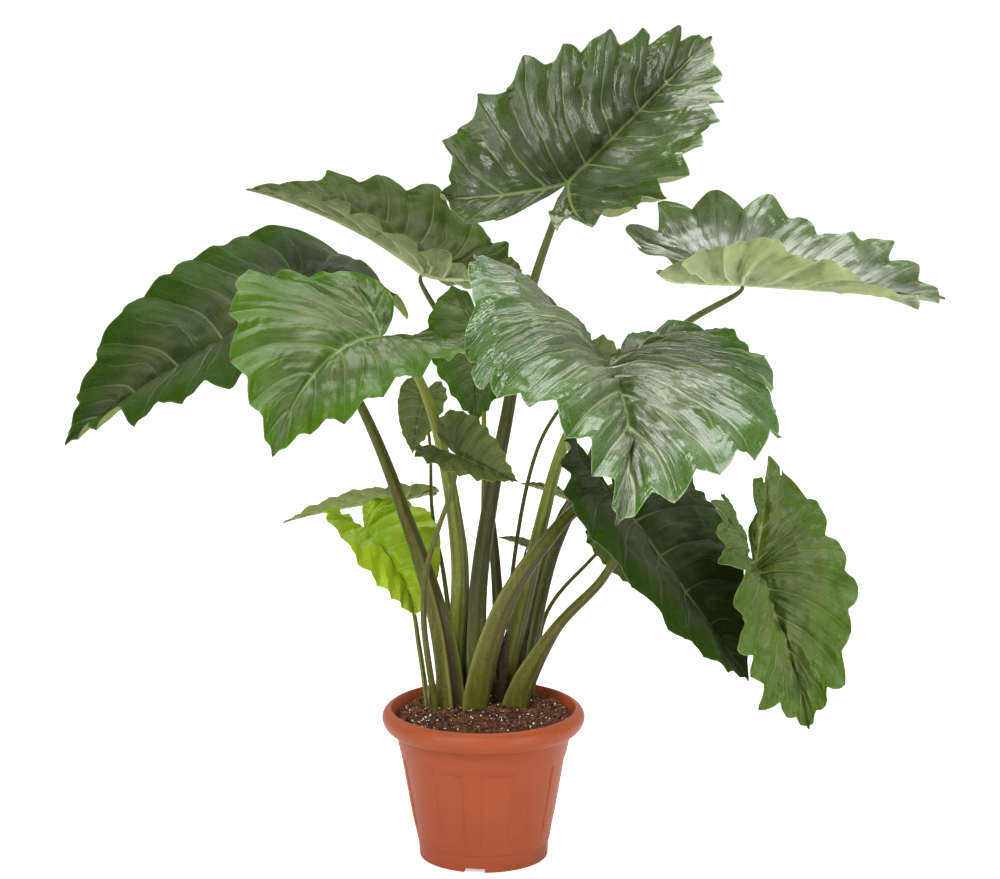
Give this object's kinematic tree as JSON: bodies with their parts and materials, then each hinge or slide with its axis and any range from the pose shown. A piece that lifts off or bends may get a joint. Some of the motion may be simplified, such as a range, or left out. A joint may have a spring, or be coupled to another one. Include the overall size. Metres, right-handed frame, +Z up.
{
  "type": "potted alocasia",
  "caption": "Potted alocasia: large arrow-shaped leaves with waved edges on long arching stalks, standing in soil in a round ribbed terracotta-coloured nursery pot.",
  "frame": {"origin": "centre of the pot's underside, on the surface that it stands on", "axes": "+Z is up along the pot's axis, -Y is the front that the picture shows, +X is to its right"},
  "size_m": [1.1751, 0.7637, 1.0933],
  "materials": {
    "terracotta_plastic": "matte",
    "potting_soil": "matte",
    "leaf_blade": "satin",
    "young_blade": "satin",
    "leaf_stalk": "satin"
  },
  "bodies": {
    "root": {"pot": "terracotta_plastic", "soil": "potting_soil", "leaf_top_blade": "leaf_blade", "leaf_top_stalk": "leaf_stalk", "leaf_right_back_blade": "leaf_blade", "leaf_right_back_stalk": "leaf_stalk", "leaf_left_back_blade": "leaf_blade", "leaf_left_back_stalk": "leaf_stalk", "leaf_left_far_blade": "leaf_blade", "leaf_left_far_stalk": "leaf_stalk", "leaf_left_front_blade": "leaf_blade", "leaf_left_front_stalk": "leaf_stalk", "leaf_centre_blade": "leaf_blade", "leaf_centre_stalk": "leaf_stalk", "leaf_right_low_blade": "leaf_blade", "leaf_right_low_stalk": "leaf_stalk", "leaf_right_hang_blade": "leaf_blade", "leaf_right_hang_stalk": "leaf_stalk", "leaf_young_blade": "young_blade", "leaf_young_stalk": "leaf_stalk", "leaf_inner_right_blade": "leaf_blade", "leaf_inner_right_stalk": "leaf_stalk", "leaf_inner_left_blade": "leaf_blade", "leaf_inner_left_stalk": "leaf_stalk", "leaf_inner_mid_blade": "leaf_blade", "leaf_inner_mid_stalk": "leaf_stalk", "leaf_back_mid_blade": "leaf_blade", "leaf_back_mid_stalk": "leaf_stalk", "leaf_back_wisp_blade": "leaf_blade", "leaf_back_wisp_stalk": "leaf_stalk", "leaf_low_wisp_blade": "leaf_blade", "leaf_low_wisp_stalk": "leaf_stalk", "leaf_behind_blade": "leaf_blade", "leaf_behind_stalk": "leaf_stalk", "leaf_edge_on_blade": "leaf_blade", "leaf_edge_on_stalk": "leaf_stalk"}
  },
  "joints": []
}
